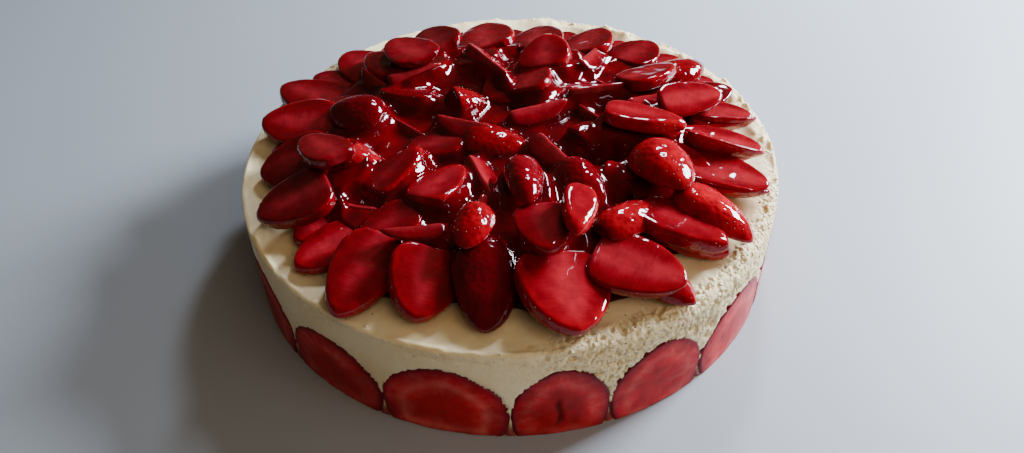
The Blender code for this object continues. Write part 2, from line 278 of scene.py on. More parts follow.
def sideMaterial():
    look = sideLook
    material, tree, shader = newMaterial("cutStrawberry")
    rim = attribute(tree, "rim")
    around = attribute(tree, "rays", "Vector")
    flesh = ramp(tree, rim, (
        (0.0, look["core"]), (0.30, look["flesh"]), (0.62, look["flesh"]),
        (0.84, look["outer"]), (0.97, look["rim"]),
    ))
    ringShare = ramp(tree, rim, ((0.26, 0.0), (0.44, 1.0), (0.64, 0.0)))
    ringShare = calc(tree, "MULTIPLY", ringShare, attribute(tree, "band"))
    flesh = blend(tree, ringShare, flesh, look["band"])
    rays = noiseTexture(tree, scaled(tree, around, look["rays"]), 1.0, 4.0, 0.6)
    rays = ramp(tree, rays, ((0.45, 0.0), (0.75, 1.0)))
    reach = ramp(tree, rim, ((0.05, 0.04), (0.45, 0.5), (0.8, 0.28), (0.93, 0.0)))
    flesh = blend(tree, calc(tree, "MULTIPLY", rays, reach), flesh, look["streak"])
    blotch = noiseTexture(tree, attribute(tree, "local", "Vector"), 2.3, 4.0)
    darkest, lightest = look["blotches"]
    flesh = blend(tree, 1.0, flesh, ramp(tree, blotch, ((0.35, darkest), (0.7, lightest))), "MULTIPLY")
    flesh = blend(tree, 1.0, flesh, attribute(tree, "tone"), "MULTIPLY")
    # painted shade: the slit, sunk as a groove in the face, is coloured nearly black
    flesh = blend(tree, attribute(tree, "slit"), flesh, look["slit"])
    setShader(
        tree, shader, flesh, Roughness=look["roughness"], Specular_IOR_Level=0.0,
        Subsurface_Weight=look["scatter"], Subsurface_Radius=look["scatterColour"],
        Subsurface_Scale=look["scatterDepth"], Coat_Weight=look["coat"],
        Coat_Roughness=look["coatRoughness"],
    )
    grain = noiseTexture(tree, scaled(tree, around, (40.0, 6.0, 1.0)), 1.0, 4.0, 0.65)
    addBump(tree, shader, grain, 0.5, 0.00014)
    return material


creamLook = {
    "light": (0.90, 0.78, 0.51),
    "deep": (0.84, 0.67, 0.37),
    # painted shade in the foam's pores, and how much of it
    "paintedPoreShade": (0.52, 0.38, 0.18), "paintedPoreShadeShare": 0.6,
    "lip": (0.78, 0.58, 0.29), "lipShare": 0.6,
    # juice stain on the top near the fruit; the same colour is painted shade at the foot of the wall
    "stain": (0.24, 0.015, 0.02),
    "roughness": 0.52, "shine": 0.35,
    "scatter": 0.25, "scatterColour": (1.0, 0.75, 0.4), "scatterDepth": 0.003,
    "softness": 0.12, "holeDepth": 1.6, "reliefHeight": 0.0008,
}


def creamMaterial():
    look = creamLook
    material, tree, shader = newMaterial("vanillaCream")
    place = objectPlace(tree)
    smear = noiseTexture(tree, place, 60.0, 4.0, 0.55)
    colour = blend(tree, ramp(tree, smear, ((0.3, 0.0), (0.7, 1.0))), look["deep"], look["light"])
    pores = ramp(tree, noiseTexture(tree, place, 900.0, 3.0, 0.65), ((0.52, 0.0), (0.66, 1.0)))
    holes = calc(tree, "MULTIPLY", pores, attribute(tree, "foam"))
    lip = calc(tree, "MULTIPLY", attribute(tree, "lip"), look["lipShare"])
    # painted shade: the foam's pores get a darker, browner colour where their holes are bumped in
    colour = blend(tree, calc(tree, "MULTIPLY", holes, look["paintedPoreShadeShare"]), colour, look["paintedPoreShade"])
    colour = blend(tree, lip, colour, look["lip"])
    # juice stain on the top, and painted shade low on the wall between the side berries
    colour = blend(tree, attribute(tree, "stain"), colour, look["stain"])
    setShader(
        tree, shader, colour, Roughness=look["roughness"], Specular_IOR_Level=look["shine"],
        Subsurface_Weight=look["scatter"], Subsurface_Radius=look["scatterColour"],
        Subsurface_Scale=look["scatterDepth"],
    )
    soft = calc(tree, "MULTIPLY", noiseTexture(tree, place, 420.0, 4.0, 0.6), look["softness"])
    height = calc(tree, "SUBTRACT", soft, calc(tree, "MULTIPLY", holes, look["holeDepth"]))
    addBump(tree, shader, height, 0.7, look["reliefHeight"])
    return material


jellyLook = {
    "deep": (0.035, 0.0002, 0.0015), "light": (0.120, 0.0004, 0.003),
    "roughness": 0.3, "coat": 1.0, "coatRoughness": 0.02, "coatIor": 1.45,
    "ripples": 260.0, "rippleHeight": 0.001,
}


def jellyMaterial():
    look = jellyLook
    material, tree, shader = newMaterial("strawberryJelly")
    place = objectPlace(tree)
    cloud = ramp(tree, noiseTexture(tree, place, 90.0, 3.0, 0.5), ((0.35, 0.0), (0.7, 1.0)))
    setShader(
        tree, shader, blend(tree, cloud, look["deep"], look["light"]), Roughness=look["roughness"],
        Specular_IOR_Level=0.0, Coat_Weight=look["coat"], Coat_Roughness=look["coatRoughness"],
        Coat_IOR=look["coatIor"],
    )
    addBump(tree, shader, noiseTexture(tree, place, look["ripples"], 2.0, 0.5), 0.18, look["rippleHeight"])
    return material


grainLooks = {
    "strawberrySeed": ((0.14, 0.010, 0.004), (0.30, 0.07, 0.012)),  # dark and light
    "vanillaSeed": ((0.02, 0.010, 0.006), (0.05, 0.025, 0.012)),
}


def grainMaterial(name):
    material, tree, shader = newMaterial(name)
    speckle = noiseTexture(tree, objectPlace(tree), 400.0, 2.0)
    setShader(tree, shader, blend(tree, speckle, *grainLooks[name]), Roughness=0.6)
    return material


# Berries on top, repeated from the part in millimetres and degrees

berry = {
    "shoulder": 0.30, "hullSqueeze": 0.30, "bluntness": 0.62, "depthShare": 0.84,
    "lumps": ((0.045, 2, 0.0), (0.032, 3, 4.0)),
    "heart": -0.08,                      # middle of the flesh along the berry, from half its length
    "stations": (0.0, 0.13, 0.30, 0.50, 0.68, 0.83, 0.94), "sides": 12,
    "pitches": (-12, -6, 0, 6, 12), "rolls": (-24, -18, -12, -6, 0, 6, 12, 18, 24),
    "step": 0.65,  # size of the fine faces
    "halvings": 22,                      # of the search for the skin
    "edge": 10.0,                        # higher is sharper where the knife left the skin
    "pitSpacing": 2.7, "pitDepth": 0.21, "pitWidth": 0.75,
    "pitTurn": 2.399963,                 # from one seed to the next along the spiral, in radians
    "seedShare": (0.06, 0.6),            # share of the seeds that shows, at the middle and near the tip
    "bare": ("ring_04", "heap_10", "heap_02", "heap_14", "nub", "bud"),  # pared pieces without seeds
    "bareSkin": 0.25, "bareTone": 1.15,
    "ripple": 0.30, "rippleSize": 6.0,   # waves of the glaze over the cut faces
    "tones": (0.6, 1.1),                 # darkest and lightest piece
    "paintedShadeNorth": (1.0, 0.62), "paintedLightEast": (0.82, 1.12),  # painted shade darkens the pieces towards the back; painted light brightens them towards the right, and painted shade darkens them towards the left
}

# name, cut, thickness kept, length, width, x, y, yaw of the tip, pitch, roll
sunkRows = (
    ("band", "wedge", 0, 27, 20, -34, 25, 178, 4, 205),
    ("bar", "wedge", 0, 28, 20, 29, 35, 8, 4, 205),
    ("stub", "tip", 15, 28, 18, -18, 22, 20, 8, 0),
    ("ridge", "wedge", 0, 28, 21, -46, 11, -40, 4, 180),
    ("heart", "half", 0, 30, 22, -5, -3, -8, 4, 0),
    ("shelf", "slab", 6, 25, 22, -30, -3, 200, 4, 6),
    ("rail", "wedge", 0, 32, 18, -56, -39, -12, 2, 200),
    ("under", "slab", 6, 28, 21, -28, -49, 188, 2, 0),
    ("lens", "slab", 6, 25, 18, -28, 48, 30, 0, 16),
    ("chip", "slab", 6, 22, 16, -1, 34, -15, 0, 14),
    ("nub", "tip", 15, 28, 18, 31, -7, 40, -14, 0),
    ("bud", "tip", 15, 30, 18, 42, -30, -20, -6, 0),
    ("knob", "tip", 15, 30, 19, -58, -13, -18, 4, 0),
    ("lobe", "slab", 7, 24, 21, 25, 48, 60, -14, 0),
    ("block", "wedge", 0, 22, 17, 45, 38, -40, 0, 200),
    ("fin", "wedge", 0, 28, 18, 35, 13, -52, 0, 180),
    ("stop", "tip", 14, 26, 16, 66, -4, 10, -8, 0),
)
laidRows = (
    ("ring_01", "slab", 5, 28, 22, -66, -58, -140, 3, 0),
    ("ring_02", "slab", 6, 37, 25, -51, -75, -114, 4, 0),
    ("ring_03", "slab", 6, 29, 27, -30, -83, -99, 5, -4),
    ("ring_04", "cheek", 10, 38, 25, -9, -83, -93, 8, 0),
    ("ring_05", "slab", 6, 34, 34, 17, -88, -80, 4, -3),
    ("ring_06", "cheek", 10, 37, 22, 47, -76, -42, 2, 0),
    ("ring_07", "slab", 7, 36, 21, 62, -55, -36, 4, -6),
    ("ring_09", "half", 0, 35, 19, 83, -28, -24, 2, 150),
    ("ring_08", "cheek", 11, 34, 23, 73, -50, -45, 5, 0),
    ("ring_10", "half", 0, 34, 19, 86, -11, -10, 2, 150),
    ("ring_11", "half", 0, 26, 18, 92, 12, -3, 2, 150),
    ("ring_12", "slab", 5, 26, 20, 86, 30, 20, 2, 0),
    ("ring_13", "cheek", 9, 29, 22, 77, 50, 36, 2, 0),
    ("ring_14", "slab", 5, 26, 24, 59, 65, 50, 2, 0),
    ("ring_15", "slab", 5, 31, 27, 37, 74, 66, -6, 0),
    ("ring_16", "slab", 5, 31, 28, 14, 80, 82, 0, 0),
    ("ring_17", "slab", 5, 35, 28, -10, 80, 97, 0, 0),
    ("ring_18", "slab", 5, 31, 26, -34, 77, 113, 0, 0),
    ("ring_20", "slab", 5, 32, 26, -64, 61, 134, 0, 0),
    ("ring_21", "slab", 5, 34, 27, -86, 38, 152, 0, 0),
    ("ring_23", "slab", 6, 34, 28, -88, 13, 171, 2, 0),
    ("ring_22", "slab", 5, 31, 28, -85, -13, 185, 2, 0),
    ("ring_24", "slab", 6, 31, 28, -80, -38, -158, 3, 0),
    ("ring_19", "cheek", 8, 31, 26, -43, 54, 125, -4, 180),
    ("heap_01", "slab", 5, 27, 21, -71, -20, 130, 4, 4),
    ("heap_02", "cheek", 9, 25, 20, -63, 11, 165, 4, 0),
    ("heap_03", "wedge", 0, 28, 22, -55, 38, 132, -4, 165),
    ("heap_04", "wedge", 0, 34, 18, -10, 49, -58, 4, 190),
    ("heap_05", "slab", 5, 24, 24, 17, 54, 84, -8, 0),
    ("heap_06", "slab", 6, 29, 22, 60, 34, 30, 2, -30),
    ("heap_07", "half", 0, 28, 20, 76, 13, 12, 2, 205),
    ("heap_08", "slab", 6, 34, 17, 54, -3, -14, 4, -8),
    ("heap_12", "cheek", 8, 28, 17, 41, -59, 38, 2, 6),
    ("heap_09", "cheek", 10, 32, 24, 57, -34, -72, 2, 0),
    ("heap_10", "half", 0, 30, 18, 26, -37, -68, 2, 0),
    ("heap_11", "slab", 5, 26, 22, 11, -69, -85, 4, 0),
    ("heap_13", "slab", 6, 25, 13, 24, -66, -98, 6, -16),
    ("heap_14", "half", 0, 30, 16, 5, -45, -85, 4, 0),
    ("heap_15", "half", 0, 24, 17, -13, -66, -102, 6, 0),
    ("heap_16", "wedge", 0, 24, 16, -35, -66, 184, 2, 205),
    ("heap_17", "slab", 6, 32, 20, -28, -34, 62, -2, -4),
    ("heap_18", "slab", 6, 30, 17, -46, -25, 50, -4, -10),
)


# slices flat on the cream, under the ring: length, width, x, y, yaw of the tip
underRows = (
    (28, 24, -76, 48, 143), (28, 24, -85, 25, 165), (28, 24, -85, 0, 178), (28, 24, -80, -26, 200),
    (26, 22, -69, -45, 215), (26, 24, -49, 70, 125), (26, 24, -22, 80, 105), (26, 24, 3, 82, 88),
    (26, 24, 26, 78, 72), (26, 22, 48, 69, 56), (26, 22, 68, 57, 40), (26, 22, 80, 39, 27),
    (26, 22, 80, 19, 12),
)
# pieces between the others: name, cut, kept, length, width, x, y, height of the middle, turns
fillRows = tuple(
    (f"under_{i + 1:02}", "slab", 4, length, width, x, y, 46.6, yaw, 0, 0)
    for i, (length, width, x, y, yaw) in enumerate(underRows)
) + (
    ("east_01", "half", 0, 37, 23, 81, -27, 51.0, -23, 3, 184),
    ("east_02", "half", 0, 36, 22, 84, -9, 51.0, -10, 3, 182),
    ("east_03", "half", 0, 28, 20, 89, 12, 50.5, -3, 3, 180),
    ("east_04", "slab", 7, 36, 22, 60, -58, 55.0, -32, 5, -10),
    ("east_05", "half", 0, 35, 27, 42, -78, 51.5, -26, 3, 187),
    ("mid_01", "slab", 6, 28, 24, -67, 22, 51.5, 150, 10, 6),
    ("mid_02", "slab", 6, 28, 22, -72, -12, 51.5, 190, 10, 0),
    ("mid_03", "wedge", 0, 26, 20, -38, 60, 52.5, 110, 6, 190),
    ("mid_04", "slab", 6, 26, 22, -14, 62, 53.0, 95, 10, -10),
    ("mid_05", "wedge", 0, 28, 20, 38, 57, 54.5, 60, 8, 170),
    ("mid_06", "wedge", 0, 28, 22, 62, 20, 53.5, 20, 4, 160),
    ("mid_07", "slab", 6, 26, 20, 66, -22, 53.5, -20, 8, 20),
    ("mid_08", "slab", 6, 26, 20, 30, -50, 52.5, -50, 6, 0),
    ("mid_09", "slab", 6, 26, 20, -44, -52, 51.5, 215, 8, 0),
    ("mid_10", "wedge", 0, 26, 22, -10, -52, 52.5, -100, 6, 200),
    ("mid_11", "slab", 7, 29, 23, -53, 53, 53.5, 128, 6, 4),
    ("mid_12", "wedge", 0, 27, 20, -42, 42, 56.0, 30, 4, 190),
    ("core_01", "wedge", 0, 26, 22, -18, 2, 54.0, 160, 0, 200),
    ("core_02", "wedge", 0, 28, 21, -12, -28, 52.5, -70, 0, 190),
    ("core_03", "wedge", 0, 28, 22, 12, 14, 53.0, 20, 0, 165),
    ("core_04", "wedge", 0, 28, 21, 17, -16, 54.5, -60, 0, 160),
    ("core_05", "slab", 7, 26, 20, 10, 36, 55.0, 70, 4, -20),
    ("core_06", "wedge", 0, 26, 20, 38, 26, 56.0, 10, 0, 195),
    ("core_07", "slab", 6, 26, 20, -44, 30, 53.0, 170, 0, 20),
)


def berryRadius(u):
    # share of the widest radius from the hull end (0) to the tip (1)
    squeezed = 1 - berry["hullSqueeze"] * (1 - np.clip(u, 0, berry["shoulder"]) / berry["shoulder"]) ** 2
    climbed = np.clip((u - berry["shoulder"]) / (1 - berry["shoulder"]), 0, 1)
    return np.where(u < berry["shoulder"], squeezed, (1 - climbed**2) ** berry["bluntness"])


def lumpPhases(seed):
    draw = random.Random(seed)
    return [draw.uniform(0, 2 * math.pi) for _ in berry["lumps"]]


def skinRadius(u, angle, width, phases):
    lumps = 0
    for (share, turns, twist), phase in zip(berry["lumps"], phases):
        lumps = lumps + share * np.sin(turns * angle + twist * u + phase)
    return width / 2 * berryRadius(u) * (1 + lumps)


def knifePlanes(cut, keep, length, width):
    # each plane as a point and the normal of the side that goes
    depth = berry["depthShare"] * width / 2
    if cut == "slab":
        return [((0, 0, keep / 2), (0, 0, 1)), ((0, 0, -keep / 2), (0, 0, -1))]
    if cut == "cheek":
        return [((0, 0, depth - keep), (0, 0, -1))]
    if cut == "half":
        return [((0, 0, 0), (0, 0, -1))]
    if cut == "wedge":
        return [((0, 0, 0), (0, 1, -1)), ((0, 0, 0), (0, -1, -1))]
    return [((length / 2 - keep, 0, 0), (-1, 0, 0))]


def plainPiece(cut, keep, length, width, phases):
    # points of the piece with the few faces that it has in the part, to find how it was laid
    shape = bmesh.new()
    layers = []
    for u in berry["stations"]:
        ring = []
        for i in range(berry["sides"]):
            a = 2 * math.pi * (i + 0.5) / berry["sides"]
            radius = float(skinRadius(np.array(u), a, width, phases))
            spot = ((u - 0.5) * length, radius * math.cos(a), berry["depthShare"] * radius * math.sin(a))
            ring.append(shape.verts.new(spot))
        layers.append(ring)
    count = berry["sides"]
    for lower, upper in zip(layers, layers[1:]):
        for i in range(count):
            shape.faces.new((lower[i], lower[(i + 1) % count], upper[(i + 1) % count], upper[i]))
    shape.faces.new(layers[0])
    tip = shape.verts.new((length / 2, 0, 0))
    for i in range(count):
        shape.faces.new((layers[-1][i], layers[-1][(i + 1) % count], tip))
    for point, normal in knifePlanes(cut, keep, length, width):
        everything = shape.verts[:] + shape.edges[:] + shape.faces[:]
        bmesh.ops.bisect_plane(
            shape, geom=everything, dist=1e-4, plane_co=point, plane_no=normal, clear_outer=True
        )
        bmesh.ops.holes_fill(shape, edges=[e for e in shape.edges if e.is_boundary], sides=0)
    points = np.array([v.co for v in shape.verts])
    shape.free()
    return points


def turnOf(yaw, pitch, roll):
    yaw, pitch, roll = (math.radians(angle) for angle in (yaw, pitch, roll))
    turn = Matrix.Rotation(yaw, 3, "Z") @ Matrix.Rotation(pitch, 3, "Y") @ Matrix.Rotation(roll, 3, "X")
    return np.array(turn)


def boxMiddle(points):
    return (points.min(0) + points.max(0)) / 2


def nodePoints(node):
    return np.array([v.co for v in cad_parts[node].data.vertices]) / mm


def laidPlace(row, phases):
    # turn and shift of a piece that settled on what carries it, read from its node
    yaw, pitch, roll = row[7:]
    plain = plainPiece(*row[1:5], phases)
    target = nodePoints(row[0])
    middle = boxMiddle(target)
    tree = KDTree(len(target))
    for i, point in enumerate(target - middle):
        tree.insert(point, i)
    tree.balance()
    best, least = None, math.inf
    for morePitch in berry["pitches"]:
        for moreRoll in berry["rolls"]:
            turn = turnOf(yaw, pitch + morePitch, roll + moreRoll)
            turned = plain @ turn.T
            centred = turned - boxMiddle(turned)
            miss = sum(tree.find(point)[2] for point in centred[::3]) / len(centred[::3])
            if miss < least:
                least, best = miss, (turn, middle - boxMiddle(turned))
    return (*best, least)


def sunkPlace(row, phases, bed):
    # a piece set in the jelly keeps its own turn; its height is read from the jelly's node
    x, y, yaw, pitch, roll = row[5:]
    turn = turnOf(yaw, pitch, roll)
    turned = plainPiece(*row[1:5], phases) @ turn.T
    shift = np.array([x, y, 0.0]) - boxMiddle(turned) * np.array([1, 1, 0])
    same = 0.02  # mm
    rises = []
    for point in turned + shift:
        near = np.hypot(*(bed[:, :2] - point[:2]).T) < same
        rises += list(bed[near, 2] - point[2])
    rises = np.array(rises)
    votes = [(np.abs(rises - rise) < same).sum() for rise in rises]
    shift[2] = rises[int(np.argmax(votes))]
    return turn, shift


def boxGrid(low, high, step):
    # points and quads of a box whose faces are grids, closed along the edges
    sizes = [max(4, int(round((high[k] - low[k]) / step))) for k in range(3)]
    index, points, faces = {}, [], []

    def corner(cell):
        if cell not in index:
            index[cell] = len(points)
            points.append([low[k] + (high[k] - low[k]) * cell[k] / sizes[k] for k in range(3)])
        return index[cell]

    for axis in range(3):
        first, second = (axis + 1) % 3, (axis + 2) % 3
        for side in (0, sizes[axis]):
            for i in range(sizes[first]):
                for j in range(sizes[second]):
                    loop = []
                    for di, dj in ((0, 0), (1, 0), (1, 1), (0, 1)):
                        cell = [0, 0, 0]
                        cell[axis], cell[first], cell[second] = side, i + di, j + dj
                        loop.append(corner(tuple(cell)))
                    faces.append(loop if side else loop[::-1])
    return np.array(points), faces


def heartOf(cut, keep, length, width):
    # a point well inside the piece, from which its whole surface can be seen
    depth = berry["depthShare"] * width / 2
    if cut == "tip":
        return np.array([length / 2 - 0.6 * keep, 0, 0])
    heights = {"slab": 0, "cheek": depth - 0.6 * keep, "half": 0.40 * depth, "wedge": 0.62 * depth}
    return np.array([berry["heart"] * length, 0, heights[cut]])


def pitPlaces(length, width, phases, seed):
    # seeds of a whole berry along a spiral, evenly spread over its skin
    u = np.linspace(0.03, 0.985, 200)
    area = np.cumsum(berryRadius(u) + 0.05)
    around = 2 * math.pi * 0.92 * (width / 2) * length * area[-1] / len(u)
    count = int(around / berry["pitSpacing"] ** 2)
    picks = np.interp((np.arange(count) + 0.5) / count, area / area[-1], u)
    angles = (np.arange(count) * berry["pitTurn"] + seed) % (2 * math.pi)
    jitter = np.random.default_rng(seed).normal(0, 0.03, (count, 2))
    picks, angles = np.clip(picks + 0.2 * jitter[:, 0], 0.02, 0.99), angles + jitter[:, 1] * 3
    radius = skinRadius(picks, angles, width, phases)
    return np.stack([
        (picks - 0.5) * length, radius * np.cos(angles), berry["depthShare"] * radius * np.sin(angles)
    ], 1)


def berryPlace(spots, length):
    # place along the berry from 0 to 1, distance from its axis and angle, as on a round berry
    flat = spots[:, 2] / berry["depthShare"]
    return spots[:, 0] / length + 0.5, np.hypot(spots[:, 1], flat), np.arctan2(flat, spots[:, 1])


def finePiece(cut, keep, length, width, phases, seed):
    # the same piece with fine faces: points, quads, attributes and the seeds left on its skin
    plain = plainPiece(cut, keep, length, width, phases)
    heart = heartOf(cut, keep, length, width)
    grid, faces = boxGrid(plain.min(0), plain.max(0), berry["step"])
    rays = unit(grid - heart)
    near, far = np.zeros(len(rays)), np.full(len(rays), length)

    def outside(reach):
        u, out, angle = berryPlace(heart + rays * reach[:, None], length)
        return (out > skinRadius(np.clip(u, 0, 1), angle, width, phases)) | (u > 1)

    for _ in range(berry["halvings"]):
        middle = (near + far) / 2
        gone = outside(middle)
        far = np.where(gone, middle, far)
        near = np.where(gone, near, middle)
    skinReach = (near + far) / 2
    sharp = berry["edge"]
    pull = skinReach ** -sharp
    skinPull = pull.copy()
    planes = []
    for point, normal in knifePlanes(cut, keep, length, width) + [((-length / 2, 0, 0), (-1, 0, 0))]:
        planes.append((np.array(point, float), np.array(normal, float) / np.linalg.norm(normal)))
    for point, normal in planes:
        towards = rays @ normal
        room = (point - heart) @ normal
        pull = pull + np.where(towards > 1e-6, room / np.maximum(towards, 1e-6), 1e9) ** -sharp
    reach = pull ** (-1 / sharp)
    skin = skinPull / pull
    points = heart + rays * reach[:, None]
    pits = pitPlaces(length, width, phases, seed)
    away = np.full(len(points), 9.0)
    for pit in pits:
        away = np.minimum(away, np.linalg.norm(points - pit, axis=1))
    pitShare = np.exp(-(away / berry["pitWidth"]) ** 2) * skin
    waves = layeredNoise(points + seed * 3.1, berry["rippleSize"], seed % 7) * berry["ripple"]
    points = points - rays * (pitShare * berry["pitDepth"] + berry["ripple"] - waves)[:, None]
    u, out, angle = berryPlace(points, length)
    rim = out / np.maximum(skinRadius(np.clip(u, 0.0, 0.97), angle, width, phases), 0.1)
    rim = np.maximum(np.clip(rim, 0, 1), smoothStep(0.9, 1.0, u))
    draw = np.random.default_rng(seed + 900).random(len(pits))
    kept = draw < np.interp(pits[:, 0] / length, (0.0, 0.3), berry["seedShare"])
    for point, normal in planes:
        kept &= (pits - point) @ normal < -0.7
    attributes = {"local": points / length + seed, "rim": rim, "skin": skin, "pit": pitShare}
    return points, faces, attributes, pits[kept]


def makeTopping(material):
    made, seeds = [], []
    bed = nodePoints("jelly_bed")
    jobs = [(row, 100 + i, "sunk") for i, row in enumerate(sunkRows)]
    jobs += [(row, 200 + i, "fill") for i, row in enumerate(fillRows)]
    jobs += [(row, i, "berry") for i, row in enumerate(laidRows)]
    worst = 0
    for row, seed, kind in jobs:
        name, length = row[0], row[3]
        phases = lumpPhases(seed)
        if kind == "sunk":
            turn, shift = sunkPlace(row, phases, bed)
        elif kind == "fill":
            turn = turnOf(*row[8:])
            shift = np.array(row[5:8], float) - boxMiddle(plainPiece(*row[1:5], phases) @ turn.T)
        else:
            turn, shift, miss = laidPlace(row, phases)
            worst = max(worst, miss)
        points, faces, attributes, pits = finePiece(*row[1:5], phases, seed)
        placed = points @ turn.T + shift
        tone = random.Random(seed + 500).uniform(*berry["tones"])
        # painted shade towards the back of the heap and painted light towards the right, multiplied into each
        # piece's tone
        tone = tone * np.interp(shift[1], (-50, 30), berry["paintedShadeNorth"])
        tone = tone * np.interp(shift[0], (-60, 60), berry["paintedLightEast"])
        if name in berry["bare"]:
            attributes["skin"] = attributes["skin"] * berry["bareSkin"]
            pits = pits[:0]
            tone = tone * berry["bareTone"]
        attributes["tone"] = np.full(len(points), tone)
        obj = meshObject(kind + "_" + name, placed, faces, material, attributes)
        made.append((obj, placed, name if kind == "berry" else None))
        middle = np.array([berry["heart"] * length, 0, 0])
        out = unit((pits - middle) * np.array([0.35, 1, 1 / berry["depthShare"] ** 2]))
        along = np.tile([1.0, 0, 0], (len(pits), 1))
        seeds.append((pits @ turn.T + shift, out @ turn.T, along @ turn.T))
    print("topping pieces:", len(made), "worst match in mm:", round(worst, 3))
    return made, [np.concatenate(part) for part in zip(*seeds)]


# Small things spread by geometry nodes

def scatterTree(name, settings, material):
    # squashed and tapered balls on points that say which way up each one lies
    squash = settings["squash"]
    tree = bpy.data.node_groups.new(name, "GeometryNodeTree")
    panel = tree.interface
    panel.new_socket("Geometry", in_out="INPUT", socket_type="NodeSocketGeometry")
    panel.new_socket("Geometry", in_out="OUTPUT", socket_type="NodeSocketGeometry")
    size = panel.new_socket("Size", in_out="INPUT", socket_type="NodeSocketFloat")
    spread = panel.new_socket("Size spread", in_out="INPUT", socket_type="NodeSocketFloat")
    seed = panel.new_socket("Seed", in_out="INPUT", socket_type="NodeSocketInt")
    start = tree.nodes.new("NodeGroupInput")
    end = tree.nodes.new("NodeGroupOutput")
    ball = addNode(
        tree, "GeometryNodeMeshUVSphere", Segments=settings["segments"], Rings=settings["rings"], Radius=1.0
    )
    place = tree.nodes.new("GeometryNodeInputPosition")
    parts = addNode(tree, "ShaderNodeSeparateXYZ", Vector=place.outputs[0])
    narrow = calc(tree, "MULTIPLY_ADD", parts.outputs[0], -settings["taper"], 1.0)
    shaped = addNode(
        tree, "ShaderNodeCombineXYZ",
        X=calc(tree, "MULTIPLY", parts.outputs[0], squash[0]),
        Y=calc(tree, "MULTIPLY", calc(tree, "MULTIPLY", parts.outputs[1], squash[1]), narrow),
        Z=calc(tree, "MULTIPLY", parts.outputs[2], squash[2]),
    )
    grain = addNode(tree, "GeometryNodeSetPosition", Geometry=ball.outputs[0], Position=shaped.outputs[0])
    facing = addNode(tree, "GeometryNodeInputNamedAttribute", {"data_type": "FLOAT_VECTOR"}, Name="facing")
    along = addNode(tree, "GeometryNodeInputNamedAttribute", {"data_type": "FLOAT_VECTOR"}, Name="along")
    turn = addNode(
        tree, "FunctionNodeAxesToRotation", {"primary_axis": "Z", "secondary_axis": "X"},
        Primary_Axis=facing.outputs[0], Secondary_Axis=along.outputs[0],
    )
    vary = tree.nodes.new("FunctionNodeRandomValue")
    low = calc(tree, "MULTIPLY", start.outputs[1], calc(tree, "SUBTRACT", 1.0, start.outputs[2]))
    high = calc(tree, "MULTIPLY", start.outputs[1], calc(tree, "ADD", 1.0, start.outputs[2]))
    tree.links.new(low, vary.inputs[2])
    tree.links.new(high, vary.inputs[3])
    tree.links.new(start.outputs[3], vary.inputs["Seed"])
    strewn = addNode(
        tree, "GeometryNodeInstanceOnPoints", Points=start.outputs[0], Instance=grain.outputs[0],
        Rotation=turn.outputs[0], Scale=vary.outputs[1],
    )
    real = addNode(tree, "GeometryNodeRealizeInstances", Geometry=strewn.outputs[0])
    smooth = addNode(tree, "GeometryNodeSetShadeSmooth", Geometry=real.outputs[0])
    finished = addNode(tree, "GeometryNodeSetMaterial", Geometry=smooth.outputs[0])
    finished.inputs["Material"].default_value = material
    tree.links.new(finished.outputs[0], end.inputs[0])
    return tree, {"size": size.identifier, "spread": spread.identifier, "seed": seed.identifier}


def scatter(name, spots, facing, along, settings, material, slotName):
    tree, sockets = scatterTree(name, settings, material)
    points = meshObject(name + "Points", spots, [], material, {"facing": facing, "along": along})
    modifier = points.modifiers.new("scatter", "NODES")
    modifier.node_group = tree
    modifier[sockets["size"]] = settings["size"] * mm
    for key in ("spread", "seed"):
        modifier[sockets[key]] = settings[key]
    graph = bpy.context.evaluated_depsgraph_get()
    mesh = bpy.data.meshes.new_from_object(points.evaluated_get(graph))
    mesh.name = name
    points.modifiers.remove(modifier)
    bpy.data.objects.remove(points)
    obj = linked(name, mesh)
    print(name + ":", len(spots), "pieces,", len(mesh.polygons), "faces")
    return obj


# Cream

cream = {
    "radius": 110.0, "height": 44.0, "flat": 77.0, "rounding": 1.2,
    "waves": ((1.76, 7, 0.09, 0.0), (1.06, 11, -0.15, 1.0)),
    "lipHeight": 2.4, "lipRadius": 105.0, "lipWidth": 5.0, "lipTowards": 45.0,
    "notches": ((0.35, 19, 0.0), (0.25, 31, 2.0)),
    "steps": 790,
    "denser": 2.2,              # how many more steps there are in the foam
    "topStep": 1.0,
    "wallStep": 0.72,
    "foot": 40.0,               # the flat under the cake starts here
    "inner": 52.0,              # the jelly covers what lies inside this
    "border": 34.0,             # width of the top that has fine rows
    "coarse": 74.0,             # the rows lie further apart inside this
    "recess": 1.3,              # how far the wall steps back behind a berry
    "foamFrom": -78.0, "foamTo": -18.0,
    "grip": 1.9,                # how far teeth of cream reach over the berries in the side
    "bevel": 4.2,               # how much more the rim is worn away in the foam
    "poreSize": 1.4, "poreDepth": 1.1, "holeSize": 3.6, "grainSize": 2.6,
    "strokeHeight": 0.28, "crumbHeight": 3.6,
    "ridgeRadius": 108.3, "ridgeWidth": 0.8, "ridgeHeight": 2.0,
    "flapRadius": 106.0, "flapWidth": 1.3, "flapHeight": 1.2,
    "juiceTop": 0.15, "footShade": 0.95,  # how much the fruit's juice stains the cream top, and how strong the painted shade is low on the wall
}
sideRows = (
    (-164, 33.0), (-140, 31.0), (-116, 35.0), (-91, 35.0), (-72, 34.0), (-51, 31.0),
    (-27, 33.0), (-4.7, 34.5), (17.6, 31.5), (39.9, 34.0), (62.2, 32.5), (84.5, 35.0),
    (106.8, 32.0), (129.1, 34.0), (151.4, 31.0), (173.7, 33.5),
)
